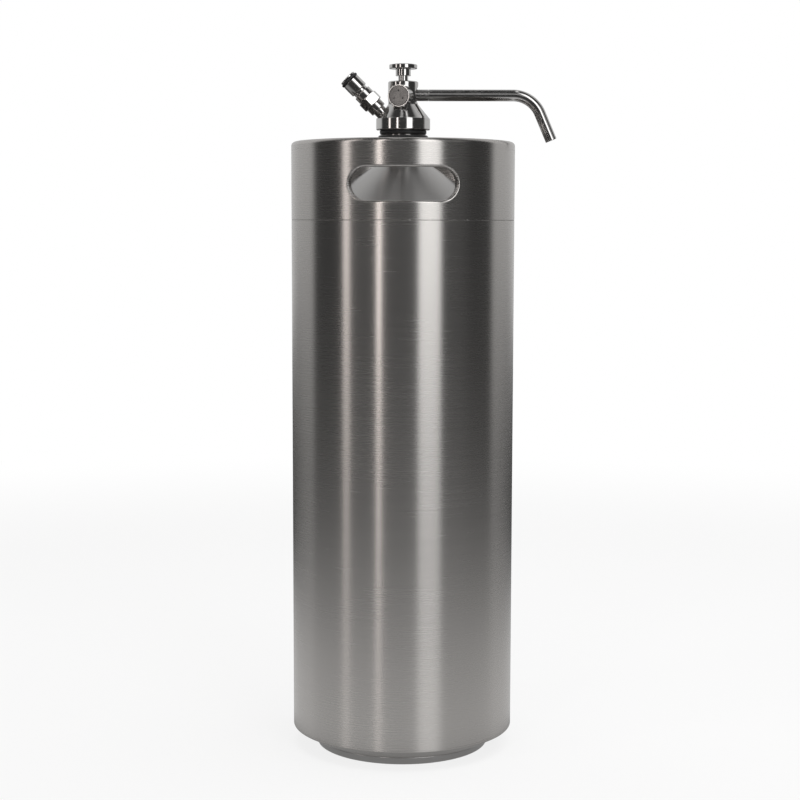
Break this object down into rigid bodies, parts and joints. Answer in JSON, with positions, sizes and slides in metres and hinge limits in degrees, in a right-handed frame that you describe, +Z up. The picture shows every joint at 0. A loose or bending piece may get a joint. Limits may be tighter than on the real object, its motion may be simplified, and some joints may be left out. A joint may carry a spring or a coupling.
{
  "type": "mini keg beer dispenser",
  "caption": "Single-walled steel mini keg with a handle collar and a screw-in tap head: press-to-pour valve, swivelling bent spout, quick-connect gas post and relief valve.",
  "frame": {"origin": "on the keg's axis at the surface it stands on", "axes": "+Z up along the keg, +X towards the spout, -Y towards the viewer of the picture, with the relief valve on that side"},
  "size_m": [0.2191, 0.185, 0.5709],
  "materials": {
    "keg_steel": "satin",
    "tap_steel": "polished",
    "spout_steel": "polished",
    "spring_steel": "satin",
    "seal_rubber": "matte",
    "gasket_rubber": "matte"
  },
  "bodies": {
    "keg": {"keg_shell": "keg_steel", "keg_bottom": "keg_steel", "foot_ring": "keg_steel", "keg_shoulder": "keg_steel", "keg_neck": "keg_steel", "handle_collar": "keg_steel"},
    "neck_gasket": {"neck_gasket": "gasket_rubber"},
    "tap_head": {"tap_body": "tap_steel", "dip_tube_nut": "tap_steel", "dip_tube": "tap_steel", "valve_gland": "tap_steel", "valve_spring": "spring_steel", "gas_adapter": "tap_steel", "gas_post": "tap_steel", "post_o_ring": "seal_rubber", "poppet_spring": "spring_steel", "relief_cap": "tap_steel", "relief_spring": "spring_steel", "spout_stub": "spout_steel"},
    "press_valve": {"press_knob": "tap_steel", "valve_stem": "tap_steel", "valve_seal": "seal_rubber"},
    "gas_poppet": {"gas_poppet": "tap_steel", "poppet_seal": "seal_rubber"},
    "relief_poppet": {"relief_poppet": "tap_steel", "relief_seal": "seal_rubber"},
    "spout": {"spout_tube": "spout_steel", "spout_spigot": "spout_steel"}
  },
  "joints": [
    {"name": "head_lift", "type": "slide", "parent": "keg", "child": "neck_gasket", "axis": [0, 0, 1], "range_m": [0, 0.0119]},
    {"name": "head_turn", "type": "hinge", "parent": "neck_gasket", "child": "tap_head", "pos_m": [0, 0, 0.513], "axis": [0, 0, 1], "range_deg": [0, 1710]},
    {"name": "press", "type": "slide", "parent": "tap_head", "child": "press_valve", "axis": [0, 0, -1], "range_m": [0, 0.004], "stiffness_N_per_m": 2000, "springref_m": -0.006, "deforming": ["valve_spring"]},
    {"name": "gas_poppet_slide", "type": "slide", "parent": "tap_head", "child": "gas_poppet", "axis": [0.7071, 0, -0.7071], "range_m": [0, 0.0025], "stiffness_N_per_m": 1500, "springref_m": -0.004, "deforming": ["poppet_spring"]},
    {"name": "relief_lift", "type": "slide", "parent": "tap_head", "child": "relief_poppet", "axis": [-0.225, -0.9744, 0], "range_m": [0, 0.001], "stiffness_N_per_m": 3000, "springref_m": -0.003, "deforming": ["relief_spring"]},
    {"name": "spout_swivel", "type": "hinge", "parent": "tap_head", "child": "spout", "pos_m": [0.0208, 0, 0.545], "axis": [1, 0, 0], "continuous": true}
  ],
  "couplings": [
    {"joint": "head_lift", "follows": "head_turn", "m_per_rad": 0.00039789}
  ]
}
